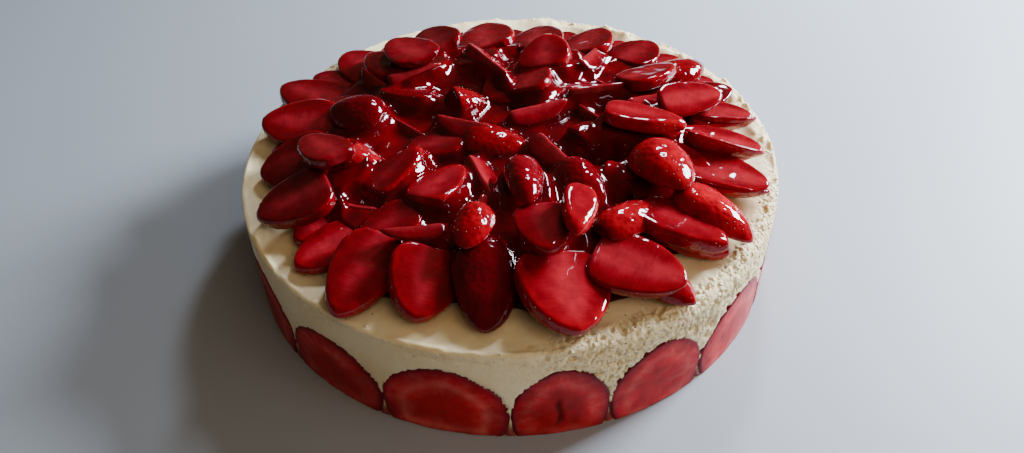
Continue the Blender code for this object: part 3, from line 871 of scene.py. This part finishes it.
side = {
    "gap": 0.05, "depth": 14.0, "widestAt": 0.36, "foot": 0.90, "footCurve": 2.0, "tipCurve": 0.62,
    "rows": 64, "columns": 72,
    "jag": 0.4, "soften": 0.5, "relief": 0.35, "recess": 0.12,
    "rimShare": 0.62, "raysFrom": 0.42,  # width of the coloured rings, and height where the rays meet
    "tones": (0.85, 1.12), "bandRange": (0.05, 0.85),
    "bands": {2: 0.9, 3: 0.2, 4: 0.4, 5: 0.3},  # strength of the pale ring, by number of the berry
    "slitIn": 3, "slitAt": -0.05, "slitWidth": 0.06, "slitDepth": 0.9,
}


def creamTop(radius, angle):
    share = np.clip((radius - cream["flat"]) / (cream["radius"] - cream["flat"]), 0, 1)
    waves = 0
    for height, turns, twist, phase in cream["waves"]:
        waves = waves + height * np.sin(turns * angle + twist * radius + phase)
    torn = 0.5 + 0.5 * np.cos(angle - math.radians(cream["lipTowards"]))
    ragged = 1
    for part, turns, phase in cream["notches"]:
        ragged = ragged + part * np.sin(turns * angle + phase)
    lip = np.exp(-(((radius - cream["lipRadius"]) / cream["lipWidth"]) ** 2)) * torn**2 * ragged
    return cream["height"] + share * (1 - share) * waves + cream["lipHeight"] * lip


def sideHalfWidth(level, slot):
    narrowing = np.clip((side["widestAt"] - level) / side["widestAt"], 0, 1) ** side["footCurve"]
    climbed = np.clip((level - side["widestAt"]) / (1 - side["widestAt"]), 0, 1)
    low = slot * (1 - (1 - side["foot"]) * narrowing)
    return np.where(level < side["widestAt"], low, slot * (1 - climbed**2) ** side["tipCurve"])


def sidePlaces():
    # middle azimuth, half of the slot's width and height of each berry in the side
    starts = [azimuth for azimuth, _ in sideRows]
    ends = starts[1:] + [starts[0] + 360]
    for (start, height), end in zip(sideRows, ends):
        slot = math.radians(end - start) / 2 * cream["radius"] - side["gap"]
        yield math.radians((start + end) / 2), slot, height


def behindBerries(angle, z, teeth):
    # 1 where the wall is behind a berry, 0 where the cream shows or grips the berry's edge
    hidden = np.zeros(len(angle))
    for middle, slot, height in sidePlaces():
        across = (angle - middle + math.pi) % (2 * math.pi) - math.pi
        level = np.clip(z / height, 0, 1)
        room = sideHalfWidth(level, slot) - np.abs(across) * cream["radius"]
        room = np.minimum(room, height - z)
        grip = cream["grip"] * smoothStep(8.0, 16.0, z) * np.clip(0.5 + teeth, 0, 1.6)
        hidden = np.maximum(hidden, smoothStep(-0.4, 0.4, room - grip))
    return hidden


def foamFront(degrees):
    # share of the foam at each azimuth: 1 at the front right, 0 elsewhere
    front = smoothStep(cream["foamFrom"] - 14, cream["foamFrom"] + 8, degrees)
    return front * (1 - smoothStep(cream["foamTo"] - 6, cream["foamTo"] + 22, degrees))


def wrapped(angle, far, along, across):
    # places for noise that is drawn out around the cake
    return np.stack([angle * along, far * across, far * 0], 1)


def creamRows(angle, front):
    # closed rows from the foot up the wall and in over the top: radius, height, share of wall, of top
    ripple = latticeNoise(wrapped(angle, angle, 110, 0), 16.0, 15)
    bevel = cream["rounding"] + cream["bevel"] * front * (1 + 0.25 * ripple)
    full = np.full(len(angle), cream["radius"])
    inside = full - bevel
    top = creamTop(inside, angle)
    footRound = 0.25
    rows = [(full * 0 + cream["foot"], 0 * full, 0, 0), (full - 0.4, 0 * full, 0, 0)]
    for share in np.linspace(0, 1, int(cream["height"] / cream["wallStep"]) + 1):
        rows.append((full, footRound + (top - bevel - footRound) * share, 1, 0))
    for turn in np.radians(np.arange(5, 90, 5)):
        lean = math.sin(turn) ** 2
        rows.append((inside + bevel * math.cos(turn), top - bevel * (1 - math.sin(turn)), 1 - lean, lean))
    steps = int(cream["border"] / cream["topStep"])
    for k in range(steps):
        far = inside + (cream["coarse"] - inside) * (k / steps) ** 1.3
        rows.append((far, creamTop(far, angle), 0, 1))
    for far in np.arange(cream["coarse"], cream["inner"], -2.5):
        rows.append((full * 0 + far, creamTop(full * 0 + far, angle), 0, 1))
    rows.append((full * 0 + cream["inner"] - 4, full * 0 + cream["height"] - 0.6, 0, 0))
    return rows


def makeCream(material, ground):
    count = cream["steps"]
    even = np.linspace(-math.pi, math.pi, 2001)
    walked = np.cumsum(1 + cream["denser"] * foamFront(np.degrees(even)))
    angle = np.interp(walked[-1] * (np.arange(count) + 0.5) / count, walked, even)
    front = foamFront(np.degrees(angle))
    rows = creamRows(angle, front)
    far = np.concatenate([row[0] for row in rows])
    z = np.concatenate([row[1] for row in rows])
    wall = np.repeat([row[2] for row in rows], count)
    onTop = np.repeat([row[3] for row in rows], count)
    around = np.tile(angle, len(rows))
    flat = polar(far, around, z)
    patch = layeredNoise(flat, 13.0, 5)
    ring = smoothStep(100.0, 106.0, far + 4 * patch)
    rim = smoothStep(36.0, 43.0, z + 3 * patch)
    frontShare = np.tile(front, len(rows))
    foam = np.maximum(onTop * ring * frontShare, wall * (0.10 + 0.25 * rim + 0.9 * frontShare))
    foam = np.clip(foam, 0, 1)
    teeth = layeredNoise(flat, 2.2, 21, 2)
    hidden = behindBerries(around, z, teeth) * (wall > 0.9)
    rough = layeredNoise(flat, cream["grainSize"], 1)
    lipSide = 0.5 + 0.5 * np.cos(around - math.radians(cream["lipTowards"] - 20))
    pits = smoothStep(0.0, 0.5, layeredNoise(flat, cream["poreSize"], 12, 2))
    holes = smoothStep(0.4, 0.8, latticeNoise(flat, cream["holeSize"], 14))
    pits = np.minimum(pits + 0.9 * holes, 1.5)
    # the wall: pores, a few smears, and the step back behind each berry
    far = far - wall * (0.12 + 0.5 * foam * (0.5 - 0.5 * rough) + cream["poreDepth"] * foam * pits)
    far = far - cream["recess"] * hidden
    # the top: strokes of the palette knife, a raised torn ridge at the rim, crumbs and the foam
    stroke = latticeNoise(wrapped(around, far, 26, 0.9), 5.0, 3)
    stroke = stroke + 0.5 * latticeNoise(wrapped(around, far, 95, 2.2), 5.0, 4)
    crumbs = np.clip(layeredNoise(flat, 2.6, 6), 0.05, 1) * smoothStep(100, 106, far) * lipSide**2
    torn = np.clip(0.35 + layeredNoise(wrapped(around, far, 110, 0), 4.5, 9), 0, 1)
    unworn = 1 - 0.8 * frontShare
    ridge = np.exp(-((far - cream["ridgeRadius"]) / cream["ridgeWidth"]) ** 2)
    ridge = ridge * torn * (0.35 + 0.65 * lipSide) * unworn
    flap = np.exp(-((far - cream["flapRadius"]) / cream["flapWidth"]) ** 2)
    flap = flap * np.clip(rough, 0, 1) * (0.3 + 0.7 * lipSide) * unworn
    z = z + onTop * (cream["strokeHeight"] * stroke + cream["crumbHeight"] * crumbs)
    z = z + onTop * foam * (0.6 * rough - cream["poreDepth"] * pits)
    z = z + onTop * (cream["ridgeHeight"] * ridge + cream["flapHeight"] * flap)
    points = polar(far, around, z)
    faces = ringFaces(len(rows), count)
    last = (len(rows) - 1) * count
    faces.append(tuple(range(count))[::-1])
    faces.append(tuple(range(last, last + count)))
    wet = blurred((ground > cream["height"] + 0.5).astype(float), 4, 0.0)
    cells = np.clip(cellOf(points[:, :2]), 0, len(ground) - 1)
    juice = smoothStep(0.05, 0.8, wet[cells[:, 0], cells[:, 1]]) * (z > 42)
    # juice stain on the top around the fruit; painted shade on the wall near the floor, where the side
    # berries meet
    stain = cream["juiceTop"] * juice + cream["footShade"] * (wall > 0.9) * smoothStep(9.0, 3.0, z)
    lip = onTop * smoothStep(102.0, 107.0, far + 2 * rough) * lipSide**2 * unworn
    marks = {"foam": foam, "stain": stain, "lip": lip}
    obj = meshObject("creamBody", points, faces, material, marks)
    print("cream:", len(faces), "faces")
    return obj, points


def sideFaces(rows, columns):
    # quads of a front and a back sheet and of the band that joins them
    count = rows * columns
    faces = []
    for i in range(rows - 1):
        for j in range(columns - 1):
            a = i * columns + j
            faces.append((a, a + 1, a + columns + 1, a + columns))
            faces.append((count + a, count + a + columns, count + a + columns + 1, count + a + 1))
    border = list(range(columns)) + [i * columns + columns - 1 for i in range(1, rows)]
    border += [(rows - 1) * columns + j for j in range(columns - 2, -1, -1)]
    border += [i * columns for i in range(rows - 2, 0, -1)]
    for i, a in enumerate(border):
        b = border[(i + 1) % len(border)]
        faces.append((b, a, count + a, count + b))
    return faces


def makeSideBerries(material):
    made = []
    rows, columns = side["rows"], side["columns"]
    faces = sideFaces(rows, columns)
    row = (1 - np.cos(np.linspace(0, math.pi, rows))) / 2
    level = 0.5 * row + 0.5 * np.linspace(0, 1, rows)
    level[-1] = 0.998
    column = np.sin(np.linspace(-math.pi / 2, math.pi / 2, columns))
    levels, across = np.meshgrid(level, column, indexing="ij")
    for number, (middle, slot, height) in enumerate(sidePlaces()):
        half = sideHalfWidth(level, slot)
        reach = (half[:, None] * across).ravel()
        rise = levels.ravel()
        own = np.full(reach.size, float(number))
        spots = np.stack([reach, rise * height, 7.0 * own], 1)
        ragged = 0.5 + 0.5 * (latticeNoise(spots, 1.9, 8) + 0.6 * latticeNoise(spots, 5.0, 9))
        near = smoothStep(0.80, 1.0, np.abs(across).ravel()) * smoothStep(0.40, 0.60, rise)
        reach = reach - np.sign(reach) * side["jag"] * near * ragged * np.minimum(1, np.abs(reach) / 2)
        z = np.maximum(rise * height - side["jag"] * smoothStep(0.9, 1.0, rise) * ragged, 0.0)
        away = 6.0 + z
        for wide, high in zip(np.append(half, -half), np.tile(level * height, 2)):
            away = np.minimum(away, np.hypot(reach - wide, z - high))
        rim = 1 - np.clip(away / (side["rimShare"] * slot), 0, 1)
        relief = side["relief"] * np.clip(layeredNoise(spots, 4.0, number), 0, 1)
        rounded = side["soften"] * smoothStep(0.90, 1.0, rim) ** 2
        # a slit sunk as a groove into one berry's face; the same mask carries painted shade in the material
        aside = reach / slot - side["slitAt"] + 0.03 * np.sin(0.5 * z)
        slit = np.exp(-(aside / side["slitWidth"]) ** 2) * (number == side["slitIn"])
        slit = slit * smoothStep(0.10, 0.2, z / height) * smoothStep(0.62, 0.45, z / height)
        front = cream["radius"] - side["recess"] - rounded - relief - side["slitDepth"] * slit
        depth = side["depth"] * (half / slot)[:, None] * np.sqrt(np.maximum(0, 1 - across**2))
        back = cream["radius"] - 1.2 - depth.ravel()
        angle = middle + reach / cream["radius"]
        sheets = [polar(front, angle, z), polar(back, angle, z)]
        turned = np.arctan2(z - side["raysFrom"] * height, reach)
        draw = random.Random(number + 40)
        tone = draw.uniform(*side["tones"])
        band = side["bands"].get(number, draw.uniform(*side["bandRange"]))
        marks = {
            "rim": rim, "rays": np.stack([turned / (2 * math.pi), rim, own], 1),
            "local": np.stack([reach / slot, z / slot, own], 1), "tone": 0 * own + tone,
            "band": 0 * own + band, "slit": slit,
        }
        marks = {key: np.concatenate([values, values]) for key, values in marks.items()}
        name = f"sideBerry_{number + 1:02}"
        made.append(meshObject(name, np.concatenate(sheets), faces, material, marks))
    print("side berries:", len(made))
    return made


# Jelly between the berries

jelly = {
    "cell": 0.8, "half": 104.0,
    "notch": 9, "inset": 3.0,  # how wide a notch in the outline stays open, and how far inside it ends
    "fillet": 2.0,          # radius of the meniscus between pieces
    "lower": 0.45,          # how far it lies below the pieces it joins
    "floor": 51.0,          # lowest level in the middle of the heap
    "reach": 74.0, "farthest": 100.0, "rings": 110,  # the outline lies between these radii
    "edge": 14.0, "edgeRise": 5.0, "innerRise": 22.0,  # how it climbs from its outline
    "berryHeight": 1.2,     # fruit higher than this over the cream is inside the outline
    "span": 11.0,           # reach of the rolled meniscus
    "cap": ((0.0, 62.5), (45.0, 60.0), (74.0, 53.5), (92.0, 46.5)),  # distance from the axis, highest level
    "steps": 480,
}


def cellOf(places):
    # column and row of the height map under each place
    return np.round((places + jelly["half"]) / jelly["cell"]).astype(int)


def heightMap(clouds):
    # highest point over each cell of a square grid
    size = int(2 * jelly["half"] / jelly["cell"]) + 1
    found = np.full((size, size), cream["height"])
    for cloud in clouds:
        cells = cellOf(cloud[:, :2])
        inside = ((cells >= 0) & (cells < size)).all(1)
        np.maximum.at(found, (cells[inside, 0], cells[inside, 1]), cloud[inside, 2])
    return found


def shifted(values, by, axis, fill):
    moved = np.full_like(values, fill)
    source = [slice(None), slice(None)]
    target = [slice(None), slice(None)]
    if by >= 0:
        source[axis], target[axis] = slice(0, values.shape[axis] - by), slice(by, None)
    else:
        source[axis], target[axis] = slice(-by, None), slice(0, by)
    moved[tuple(target)] = values[tuple(source)]
    return moved


def rolled(values, grow):
    # rolls a paraboloid over the map (grow) or under it, one axis after the other
    span = int(jelly["span"] / jelly["cell"])
    for axis in (0, 1):
        best = values.copy()
        for by in range(-span, span + 1):
            drop = (by * jelly["cell"]) ** 2 / (2 * jelly["fillet"])
            if grow:
                best = np.maximum(best, shifted(values, by, axis, -1e3) - drop)
            else:
                best = np.minimum(best, shifted(values, by, axis, 1e3) + drop)
        values = best
    return values


def blurred(values, times, fill=44.0):
    for _ in range(times):
        for axis in (0, 1):
            values = (shifted(values, 1, axis, fill) + 2 * values + shifted(values, -1, axis, fill)) / 4
    return values


def makeJelly(clouds, material):
    ground = heightMap(clouds)
    for axis in (0, 1):
        ground = np.maximum(ground, np.minimum(shifted(ground, 1, axis, 0), shifted(ground, -1, axis, 0)))
    pool = np.maximum(blurred(rolled(rolled(ground, True), False), 2) - jelly["lower"], jelly["floor"])
    count = jelly["steps"]
    angle = np.arange(count) * 2 * math.pi / count
    rim = np.full(count, jelly["reach"])
    for far in np.arange(jelly["reach"], jelly["farthest"], jelly["cell"]):
        x, y = cellOf(far * np.cos(angle)), cellOf(far * np.sin(angle))
        rim = np.where(ground[x, y] > cream["height"] + jelly["berryHeight"], far, rim)
    window = count * jelly["notch"] // 720
    rim = np.min([np.roll(rim, k) for k in range(-window, window + 1)], axis=0)
    rim = np.mean([np.roll(rim, k) for k in range(-window, window + 1)], axis=0) - jelly["inset"]
    shares = np.linspace(0.01, 1.0, jelly["rings"])
    rings = []
    for share in shares:
        far = rim * share
        x, y = far * np.cos(angle), far * np.sin(angle)
        cx, cy = (x + jelly["half"]) / jelly["cell"], (y + jelly["half"]) / jelly["cell"]
        ix, iy = cx.astype(int), cy.astype(int)
        fx, fy = cx - ix, cy - iy
        z = (
            pool[ix, iy] * (1 - fx) * (1 - fy) + pool[ix + 1, iy] * fx * (1 - fy)
            + pool[ix, iy + 1] * (1 - fx) * fy + pool[ix + 1, iy + 1] * fx * fy
        )
        room = (rim - far) / jelly["edge"]
        cap = np.interp(far, *zip(*jelly["cap"]))
        lid = cream["height"] - 0.3 + jelly["edgeRise"] * np.clip(room, 0, 1) ** 0.5
        lid = lid + jelly["innerRise"] * smoothStep(0.6, 3.0, room)
        rings.append(np.stack([x, y, np.minimum(z, np.minimum(cap, lid))], 1))
    bottom = rings[-1].copy()
    bottom[:, 2] = cream["height"] - 1.5
    rings.append(bottom)
    points = np.concatenate(rings)
    faces = ringFaces(len(rings), count)
    last = (len(rings) - 1) * count
    faces.append(tuple(range(last, last + count)))
    middle = len(points)
    points = np.concatenate([points, rings[0].mean(0)[None]])
    for i in range(count):
        faces.append((middle, (i + 1) % count, i))
    faces = [face[::-1] for face in faces]
    obj = meshObject("jelly", points, faces, material)
    print("jelly:", len(faces), "faces")
    return obj, ground, points


# Stage, light and camera

view = {
    "focal": 900.0, "imageWidth": 1024.0, "distance": 0.4056, "elevation": 42.43, "roll": 1.328,
    "shift": (0.00067, 0.00416),
}
lamps = {
    "window": {"place": (0.60, 0.32, 0.38), "size": (0.25, 0.28), "power": 27.0, "colour": (0.83, 0.91, 1.0)},
    "pane": {"place": (0.21, 0.58, 0.60), "size": (0.10, 0.15), "power": 4.6, "colour": (0.83, 0.91, 1.0)},
    "fill": {"place": (0.40, -0.60, 0.80), "size": (0.8, 0.8), "power": 3.5, "colour": (1.0, 0.78, 0.54)},
    "wall": {"place": (0.75, -0.30, 0.24), "size": (0.4, 0.3), "power": 1.9, "colour": (1.0, 0.95, 0.88)},
}
mirrored = ("window", "pane")  # the lamps that the glaze mirrors
stage = {
    "target": (0, 0, 0.05), "sky": (0.94, 0.74, 0.54), "skyStrength": 0.08,
    "floor": (0.28, 0.305, 0.342), "floorRoughness": 0.55, "floorDrop": 0.0004,
}


def makeCamera():
    camera = bpy.data.cameras.new("camera")
    camera.sensor_width = 36.0
    camera.lens = view["focal"] / view["imageWidth"] * camera.sensor_width
    camera.shift_x, camera.shift_y = view["shift"]
    camera.clip_start = 0.01
    obj = linked("camera", camera)
    rise, roll = math.radians(view["elevation"]), math.radians(view["roll"])
    back = Vector((0, -math.cos(rise), math.sin(rise)))
    up = Vector((0, math.sin(rise), math.cos(rise)))
    right = Vector((1, 0, 0))
    across = right * math.cos(roll) - up * math.sin(roll)
    above = right * math.sin(roll) + up * math.cos(roll)
    place = Matrix((across, above, back)).transposed().to_4x4()
    place.translation = back * view["distance"]
    obj.matrix_world = place
    bpy.context.scene.camera = obj


def makeLamps():
    for name, settings in lamps.items():
        lamp = bpy.data.lights.new(name, "AREA")
        lamp.shape = "RECTANGLE"
        lamp.size, lamp.size_y = settings["size"]
        lamp.energy = settings["power"]
        lamp.color = settings["colour"]
        obj = linked(name, lamp)
        obj.location = settings["place"]
        towards = Vector(stage["target"]) - Vector(settings["place"])
        obj.rotation_euler = towards.to_track_quat("-Z", "Y").to_euler()
        obj.visible_glossy = name in mirrored


def makeStage():
    material, tree, shader = newMaterial("paleFloor")
    cloud = noiseTexture(tree, objectPlace(tree), 3.0, 2.0)
    lighter = tuple(min(1.0, c * 1.05) for c in stage["floor"])
    setShader(tree, shader, blend(tree, cloud, stage["floor"], lighter), Roughness=stage["floorRoughness"])
    shape = bmesh.new()
    bmesh.ops.create_grid(shape, x_segments=24, y_segments=24, size=3.0)
    mesh = bpy.data.meshes.new("floor")
    shape.to_mesh(mesh)
    shape.free()
    mesh.materials.append(material)
    floor = linked("floor", mesh)
    floor.location.z = -stage["floorDrop"]
    world = bpy.data.worlds.new("sky")
    world.use_nodes = True
    backdrop = world.node_tree.nodes["Background"]
    backdrop.inputs[0].default_value = (*stage["sky"], 1.0)
    backdrop.inputs[1].default_value = stage["skyStrength"]
    bpy.context.scene.world = world


def finishPieces(pieces):
    for obj, nodes in pieces:
        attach(obj, "root")
        if nodes:
            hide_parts(*nodes)


seedLook = {
    "segments": 6, "rings": 4, "squash": (0.95, 0.55, 0.34), "taper": 0.35,
    "size": 0.36, "spread": 0.2, "seed": 3,
}
speckLook = {
    "segments": 6, "rings": 4, "squash": (1.0, 0.8, 0.5), "taper": 0.2,
    "size": 0.30, "spread": 0.45, "seed": 5, "onTop": 20, "onSide": 9,
    "from": -138, "to": -62,  # degrees around the cake
}
crumbLook = {
    "segments": 6, "rings": 4, "squash": (1.0, 0.7, 0.45), "taper": 0.5,
    "size": 0.70, "spread": 0.65, "seed": 8, "count": 500,
    "radius": 107.5, "width": 2.2, "outer": 109.0,
}
bubbleLook = {
    "segments": 8, "rings": 5, "squash": (1.0, 1.0, 0.7), "taper": 0.0,
    "size": 0.26, "spread": 0.5, "seed": 9, "count": 320, "within": 76, "above": 48,
}


def picked(points, weights, count, seed, sink):
    # places on the surface with a random way up
    draw = np.random.default_rng(seed)
    weights = weights.astype(float)
    chosen = draw.choice(len(points), count, replace=False, p=weights / weights.sum())
    facing = unit(draw.normal(0, 0.35, (count, 3)) + np.array([0, 0, 1.0]))
    along = draw.normal(0, 1, (count, 3))
    return points[chosen] - np.array([0, 0, sink]), facing, along


def aroundAxis(points):
    # distance from the axis, azimuth in radians and height
    return np.hypot(points[:, 0], points[:, 1]), np.arctan2(points[:, 1], points[:, 0]), points[:, 2]


def makeSpecks(points, material):
    look = speckLook
    far, turn, z = aroundAxis(points)
    front = (np.degrees(turn) > look["from"]) & (np.degrees(turn) < look["to"])
    top = front & (far > 86) & (far < 108) & (z > 43)
    wall = front & (far > 109) & (z > 30) & (z < 42)
    sets = picked(points, top, look["onTop"], 31, 0.05), picked(points, wall, look["onSide"], 32, 0.0)
    places = [np.concatenate(part) for part in zip(*sets)]
    return scatter("vanillaSpecks", *places, look, material, "cream")


def makeCrumbs(points, material):
    look = crumbLook
    far, turn, z = aroundAxis(points)
    torn = 0.5 + 0.5 * np.cos(turn - math.radians(cream["lipTowards"] - 10))
    rim = np.exp(-((far - look["radius"]) / look["width"]) ** 2) * (z > 42.5) * (0.04 + torn**3)
    spots, facing, along = picked(points, rim, look["count"], 33, 0.1)
    spots[aroundAxis(spots)[0] > look["outer"], :2] *= 0.992
    return scatter("creamCrumbs", spots, facing, along, look, material, "cream")


def makeBubbles(points, material):
    look = bubbleLook
    far, _, z = aroundAxis(points)
    places = picked(points, (far < look["within"]) & (z > look["above"]), look["count"], 34, 0.05)
    return scatter("glazeBubbles", *places, look, material, "strawberry_jelly")


makeCamera()
makeStage()
makeLamps()
creamFinish = creamMaterial()
glazedFinish = glazedMaterial()
sideFinish = sideMaterial()
jellyFinish = jellyMaterial()
seedFinish = grainMaterial("strawberrySeed")
speckFinish = grainMaterial("vanillaSeed")
print("stage and finishes: made")

toppingObjects, (seedSpots, seedFacing, seedAlong) = makeTopping(glazedFinish)
clouds = [placed for _, placed, _ in toppingObjects]
jellyObject, ground, jellyPoints = makeJelly(clouds, jellyFinish)
creamObject, creamPoints = makeCream(creamFinish, ground)
sideObjects = makeSideBerries(sideFinish)
small = [
    scatter("seeds", seedSpots, seedFacing, seedAlong, seedLook, seedFinish, "glazed_strawberry"),
    makeSpecks(creamPoints, speckFinish),
    makeCrumbs(creamPoints, creamFinish),
    makeBubbles(jellyPoints, jellyFinish),
]

pieces = [(creamObject, ["cream"]), (jellyObject, ["jelly_bed"])]
pieces += [(obj, []) for obj in small]
pieces += [(obj, [f"side_{i + 1:02}"]) for i, obj in enumerate(sideObjects)]
pieces += [(obj, [node] if node else []) for obj, _, node in toppingObjects]
finishPieces(pieces)
print("pieces:", len(pieces))
